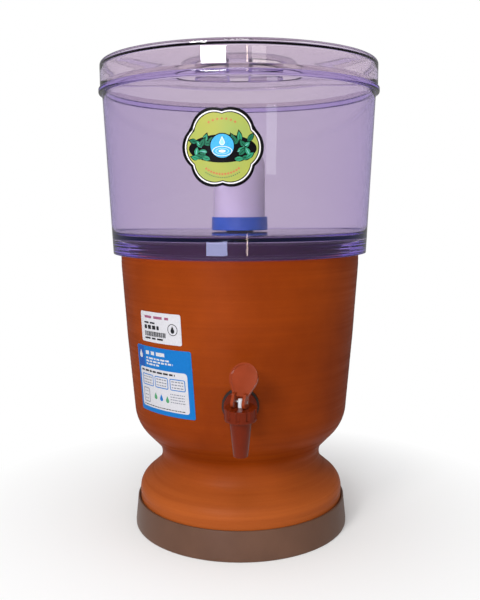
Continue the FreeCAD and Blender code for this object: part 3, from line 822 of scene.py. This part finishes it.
violet = clear_plastic("clear_violet_plastic", violet_skin, violet_tint, 0.20)
chamber_mesh = turned_mesh(chamber_line, clear_segments)
keep("chamber", chamber_mesh, violet, "chamber", "clear_violet", "upper_chamber")


# Badge. A printed film on the chamber's front with six round lobes: a black border, a white line,
# and on an olive ground a plain picture of a ringed pool between two sprigs of leaves.
badge_turn = -6.25
badge_height = 0.3826
badge_size = (0.0705, 0.0706)
badge_lobes = 6
badge_cusp = 0.90
leaf_count = 13
olive = (0.310, 0.340, 0.060)
warm_olive = (0.350, 0.345, 0.055)
green_olive = (0.260, 0.340, 0.080)


def lobed_line(scale, count=14):
    """The badge's outline, scaled about its centre."""
    def at(share, size):
        spin = 2 * math.pi * share / badge_lobes
        across = size * badge_size[0] / 2 * math.cos(spin)
        up = size * badge_size[1] / 2 * math.sin(spin)
        return Vector((across, up)) * scale

    outline = []
    for lobe in range(badge_lobes):
        first, middle, last = at(lobe - 0.5, badge_cusp), at(lobe, 1), at(lobe + 0.5, badge_cusp)
        a, b = middle - first, last - first
        across = b.y * a.length_squared - a.y * b.length_squared
        up = a.x * b.length_squared - b.x * a.length_squared
        centre = first + Vector((across, up)) / (2 * a.cross(b))
        turn = (first - centre).angle(middle - centre) + (middle - centre).angle(last - centre)
        for k in range(count):
            outline.append(tuple(centre + Matrix.Rotation(turn * k / count, 2) @ (first - centre)))
    return outline


def leaf_line(x, z, turn, length, width):
    """The outline of a pointed leaf that starts at a spot and points along the turn."""
    sides = [(length * k / 8, width / 2 * math.sin(math.pi * (k / 8) ** 0.8)) for k in range(9)]
    outline = sides + [(along, -out) for along, out in reversed(sides[1:-1])]
    spin = math.radians(turn)
    cosine, sine = math.cos(spin), math.sin(spin)
    return [(x + along * cosine - out * sine, z + along * sine + out * cosine)
            for along, out in outline]


olive_ink, tree, surface, place = finish("badge_olive_ink", olive, 0.30)
surface.inputs["Specular IOR Level"].default_value = 0.25
wash = grain(tree, place, 22.0, 1.0)
tone = blend(tree, between(tree, wash, 0.35, 0.65), warm_olive, green_olive)
tree.links.new(tone, surface.inputs["Base Color"])
tree.links.new(between(tree, wash, 0.3, 0.7, 0.26, 0.36), surface.inputs["Roughness"])
badge_inks = [
    ink("badge_black_ink", (0.003, 0.002, 0.003), 0.20),
    ink("badge_white_ink", (0.720, 0.690, 0.690), 0.30),
    olive_ink,
    ink("badge_dark_green_ink", (0.006, 0.120, 0.060), 0.30),
    ink("badge_green_ink", (0.020, 0.230, 0.120), 0.30),
    ink("badge_water_ink", (0.040, 0.330, 0.580), 0.30),
    ink("badge_brown_ink", (0.480, 0.150, 0.055), 0.30),
    ink("badge_pale_water_ink", (0.300, 0.580, 0.700), 0.30),
]
borders = ((1.0, 0), (0.925, 1), (0.893, 0), (0.868, 2))
badge_layers = [(lobed_line(scale), number) for scale, number in borders]
badge_layers.append((round_line(0, -0.0010, 0.0292, 0.0118, 48), 0))
draw = random.Random(5)
for side in (-1, 1):
    for k in range(leaf_count):
        reach = 0.0095 + 0.0150 * k / (leaf_count - 1)
        rise = 0.0075 * math.sin(2.4 * k) - 0.0005
        turn = 90 - side * (62 + draw.uniform(-26, 26)) + (0 if k % 3 else side * 80)
        length = draw.uniform(0.0066, 0.0086)
        spot = (side * reach - 0.0015 * side, rise - 0.0020)
        for grow, number in ((1.18, 0), (1.0, 3 if k % 2 else 4)):
            badge_layers.append((leaf_line(*spot, turn, length * grow, 0.0040 * grow), number))
        vein = leaf_line(*spot, turn, length * 0.8, 0.0004)
        badge_layers.append((vein, 7 if k % 4 == 0 else 0))
badge_layers += [(round_line(0, 0.0012, 0.0108, 0.0108, 40), 0),
                 (round_line(0, 0.0012, 0.0100, 0.0100, 40), 5)]
ripples = ((0.0086, 0.0042, 1), (0.0080, 0.0037, 5), (0.0058, 0.0026, 7), (0.0051, 0.0021, 5),
           (0.0030, 0.0012, 1))
for across, tall, number in ripples:
    badge_layers.append((round_line(0, -0.0032, across, tall, 32), number))
badge_layers += [(drop_line(0, 0.0040, 0.0023), 1), (drop_line(0, 0.0040, 0.0018), 7)]
dot_rows = ((7, 0.0245, 62, 118, 0.0012, 6), (13, 0.0232, -128, -52, 0.0012, 6),
            (17, 0.0262, -124, -56, 0.0006, 3))
for count, radius, low, high, size, number in dot_rows:
    for k in range(count):
        spin = math.radians(low + (high - low) * k / (count - 1))
        x, z = radius * 0.98 * math.cos(spin), radius * 0.97 * math.sin(spin)
        badge_layers.append(([(x - size, z), (x, z - size), (x + size, z), (x, z + size)], number))
printed_film("badge", badge_layers, badge_inks, "chamber", "badge_print", "front_badge",
             on_wall(chamber_outside, badge_turn, badge_height))


# Filter candle. A porous ceramic candle with a carbon core, glued in a blue plastic cup, whose
# threaded stem passes through the chamber's floor between two washers and takes a wing nut.
ceramic_white = (0.700, 0.690, 0.660)
ceramic_stain = (0.640, 0.615, 0.570)
ceramic_pit = (0.450, 0.430, 0.400)
carbon_black = (0.012, 0.012, 0.013)
cup_blue = (0.015, 0.110, 0.420)

ceramic, tree, surface, place = finish("candle_ceramic", ceramic_white, 0.75)
pits = grain(tree, place, 900.0, 4.0)
stain = grain(tree, place, 30.0, 3.0)
tone = blend(tree, between(tree, stain, 0.35, 0.70), ceramic_white, ceramic_stain)
tone = blend(tree, between(tree, pits, 0.60, 0.72, 0.0, 0.25), tone, ceramic_pit)
tree.links.new(tone, surface.inputs["Base Color"])
tree.links.new(between(tree, pits, 0.3, 0.7, 0.68, 0.86), surface.inputs["Roughness"])
rough_up(tree, surface, pits, 0.00015, 0.7)
dress(ceramic, "candle_shell")
dress(moulded("candle_carbon", carbon_black, 0.85, 200.0, 900.0, 0.35, 0.0002), "candle_core")
dress(moulded("candle_cup_plastic", cup_blue, 0.34), "candle_cup", "candle_wing_nut")
candle_rubber = moulded("candle_washer_rubber", rubber_black, 0.62, 80.0, 1800.0, 0.20)
dress(candle_rubber, "candle_upper_washer", "candle_lower_washer")
soften(moulded_edge, "candle_cup", "candle_wing_nut")


# Float valve. It screws on the candle's stem under the chamber: a white body with two ears, a steel
# pin, and an arm whose float rises with the water and closes the nozzle.
float_white = (0.660, 0.660, 0.640)
float_blue = (0.020, 0.160, 0.480)

valve_plastic = moulded("valve_white_plastic", float_white, 0.40, 40.0, 1500.0, 0.05)
dress(valve_plastic, "float_valve_body", "float_arm")
dress(moulded("float_blue_plastic", float_blue, 0.36, 30.0, 1500.0, 0.08), "float_ball")
dress(steel, "float_pin")
soften(moulded_edge, "float_valve_body", "float_arm")


# Lid. Violet plastic like the chamber's: a deep edge that drops over the chamber's rim, a standing
# rim, a flat ring, and a raised crown with two D-shaped finger pockets either side of the grip.
lid_radius = 0.1383
lid_top = 0.4725
lid_wall = 0.0025
lid_plate = 0.0020
lid_rim_width = 0.0040
lid_rim_rise = 0.0035
lid_shoulder = 0.0032
crown_radius = 0.0640
crown_slope = 0.0070
crown_rise = 0.0075
crown_round = 0.0030
pocket_radius = 0.0427
pocket_depth = 0.0120
pocket_wall = 0.0020
pocket_corner = 0.0040
grip_half = 0.0116
lid_edge = 0.0005
cut_past = 0.001
corner_steps = 12
round_steps = 48
lid_skin = (0.905, 0.858, 0.810)
lid_tint = (0.550, 0.400, 0.890)
rim_inside = lid_radius - lid_rim_width
ring_top = lid_top - lid_rim_rise
crown_top = ring_top + crown_rise
crown_edge = crown_radius - crown_slope

lid_line = rounded_line([
    (0, crown_top),
    (crown_edge, crown_top, crown_round),
    (crown_radius, ring_top, crown_round),
    (rim_inside, ring_top, 0.0006),
    (rim_inside, lid_top, 0.0006),
    (lid_radius, lid_top, lid_shoulder),
    (lid_radius, flange_top, 0.0004),
    (lid_radius - lid_wall, flange_top, 0.0004),
    (lid_radius - lid_wall, ring_top - lid_plate, 0.0010),
    (crown_radius, ring_top - lid_plate, crown_round),
    (crown_edge, crown_top - lid_plate, crown_round),
    (0, crown_top - lid_plate),
], clear_step)


def pocket_block(name, side, grow, low, high):
    """A D-shaped block, larger by grow all round: a round of the pocket's radius cut off flat
    along the grip, with its two corners rounded."""
    radius = pocket_radius + grow
    flat = grip_half - grow
    corner = pocket_corner + grow
    inner = radius - corner
    across = math.sqrt(inner ** 2 - (flat + corner) ** 2)
    tip = math.atan2(across, flat + corner)
    outline = []
    for k in range(corner_steps + 1):
        spin = math.pi - (math.pi - tip) * k / corner_steps
        outline.append((flat + corner + corner * math.cos(spin), across + corner * math.sin(spin)))
    for k in range(1, round_steps):
        spin = tip - 2 * tip * k / round_steps
        outline.append((radius * math.cos(spin), radius * math.sin(spin)))
    for k in range(corner_steps + 1):
        spin = -tip - (math.pi - tip) * k / corner_steps
        outline.append((flat + corner + corner * math.cos(spin), -across + corner * math.sin(spin)))
    mesh = bmesh.new()
    base = mesh.faces.new([mesh.verts.new((side * x, y, low)) for x, y in outline])
    raised = bmesh.ops.extrude_face_region(mesh, geom=[base])
    for item in raised["geom"]:
        if isinstance(item, bmesh.types.BMVert):
            item.co.z = high
    bmesh.ops.recalc_face_normals(mesh, faces=mesh.faces)
    data = bpy.data.meshes.new(name)
    mesh.to_mesh(data)
    mesh.free()
    block = bpy.data.objects.new(name, data)
    bpy.context.scene.collection.objects.link(block)
    return block


pale_violet = clear_plastic("pale_violet_plastic", lid_skin, lid_tint, 0.05)
lid_mesh = turned_mesh(lid_line, clear_segments)
lid = keep("clear_lid", lid_mesh, pale_violet, "lid", "clear_violet", "lid")
pocket_floor = crown_top - pocket_depth
bpy.context.view_layer.objects.active = lid
pocket_cuts = (("UNION", pocket_wall, pocket_floor - pocket_wall, crown_top - lid_plate / 2),
               ("DIFFERENCE", 0.0, pocket_floor, crown_top + cut_past))
for way, grow, low, high in pocket_cuts:
    for side in (-1, 1):
        block = pocket_block("block", side, grow, low, high)
        step = lid.modifiers.new(way, "BOOLEAN")
        step.operation = way
        step.object = block
        bpy.ops.object.modifier_apply(modifier=step.name)
        bpy.data.objects.remove(block)
smooth(lid.data)
edges = lid.modifiers.new("moulded_edges", "BEVEL")
edges.width = lid_edge
edges.segments = 2
edges.limit_method = "ANGLE"
edges.angle_limit = math.radians(45)
